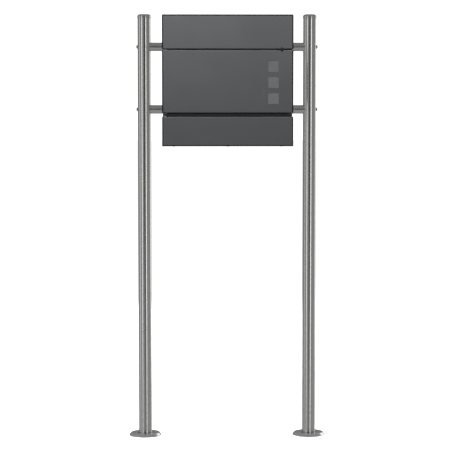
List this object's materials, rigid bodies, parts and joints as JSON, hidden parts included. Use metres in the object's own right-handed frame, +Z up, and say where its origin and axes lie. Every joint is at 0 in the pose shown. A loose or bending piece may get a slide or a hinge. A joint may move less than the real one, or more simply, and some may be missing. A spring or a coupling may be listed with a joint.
{
  "type": "freestanding letterbox",
  "caption": "Freestanding letterbox on round posts: a square box with a lifting flap, a side-hung lockable door with windows, and a newspaper compartment open at both ends.",
  "frame": {"origin": "on the floor, midway between the two post axes", "axes": "+X to the right seen from the front, +Y to the back, +Z up; the door faces -Y"},
  "size_m": [0.57, 0.1675, 1.221],
  "materials": {
    "anthracite_coat": "fine-textured matt anthracite powder coat",
    "brushed_stainless": "brushed stainless steel",
    "turned_stainless": "turned stainless steel",
    "stainless_fasteners": "bright stainless fasteners",
    "rivet_aluminium": "plain aluminium rivets",
    "black_rubber": "soft black rubber",
    "black_nylon": "matt black nylon",
    "black_zinc": "black passivated zinc",
    "zinc_steel": "zinc-plated steel",
    "nickel": "nickel-plated brass"
  },
  "bodies": {
    "stand_and_body": {"back_panel": "anthracite_coat", "side_panel_left": "anthracite_coat", "side_panel_right": "anthracite_coat", "mail_floor": "anthracite_coat", "front_rail": "anthracite_coat", "newspaper_front_panel": "anthracite_coat", "newspaper_floor": "anthracite_coat", "hinge_bracket_upper": "anthracite_coat", "hinge_bracket_lower": "anthracite_coat", "post_left": "brushed_stainless", "post_right": "brushed_stainless", "cross_tube_upper": "brushed_stainless", "cross_tube_lower": "brushed_stainless", "post_cap_left": "turned_stainless", "post_cap_right": "turned_stainless", "base_flange_left": "turned_stainless", "base_flange_right": "turned_stainless", "cross_tube_plugs": "turned_stainless", "post_spigots": "turned_stainless", "flange_set_screws": "stainless_fasteners", "post_screws": "stainless_fasteners", "saddle_washers": "stainless_fasteners", "box_bolts": "stainless_fasteners", "rear_saddle_washers": "stainless_fasteners", "dome_nuts": "stainless_fasteners", "flap_hinge_rod": "stainless_fasteners", "door_hinge_pins": "stainless_fasteners", "body_rivets": "rivet_aluminium", "newspaper_rivets": "rivet_aluminium", "bracket_rivets": "rivet_aluminium", "flap_buffers": "black_rubber", "door_buffers": "black_rubber", "saddle_spacers": "black_nylon", "lock_barrel": "black_zinc", "lock_nut": "zinc_steel"},
    "flap": {"flap_panel": "anthracite_coat"},
    "door": {"door_panel": "anthracite_coat", "inlay_plate": "brushed_stainless", "inlay_studs": "stainless_fasteners", "inlay_nuts": "stainless_fasteners", "door_bushes": "black_nylon", "door_catch": "anthracite_coat"},
    "lock": {"lock_plug": "nickel", "lock_cam": "zinc_steel", "cam_screw": "stainless_fasteners"}
  },
  "joints": [
    {"name": "flap_lift", "type": "hinge", "parent": "stand_and_body", "child": "flap", "pos_m": [0, -0.01875, 1.21275], "axis": [-1, 0, 0], "range_deg": [0, 75]},
    {"name": "door_swing", "type": "hinge", "parent": "stand_and_body", "child": "door", "pos_m": [-0.179, -0.1145, 1.028], "axis": [0, 0, -1], "range_deg": [0, 110]},
    {"name": "lock_turn", "type": "hinge", "parent": "stand_and_body", "child": "lock", "pos_m": [0.1528, -0.1185, 1.11775], "axis": [0, -1, 0], "range_deg": [0, 90]}
  ]
}
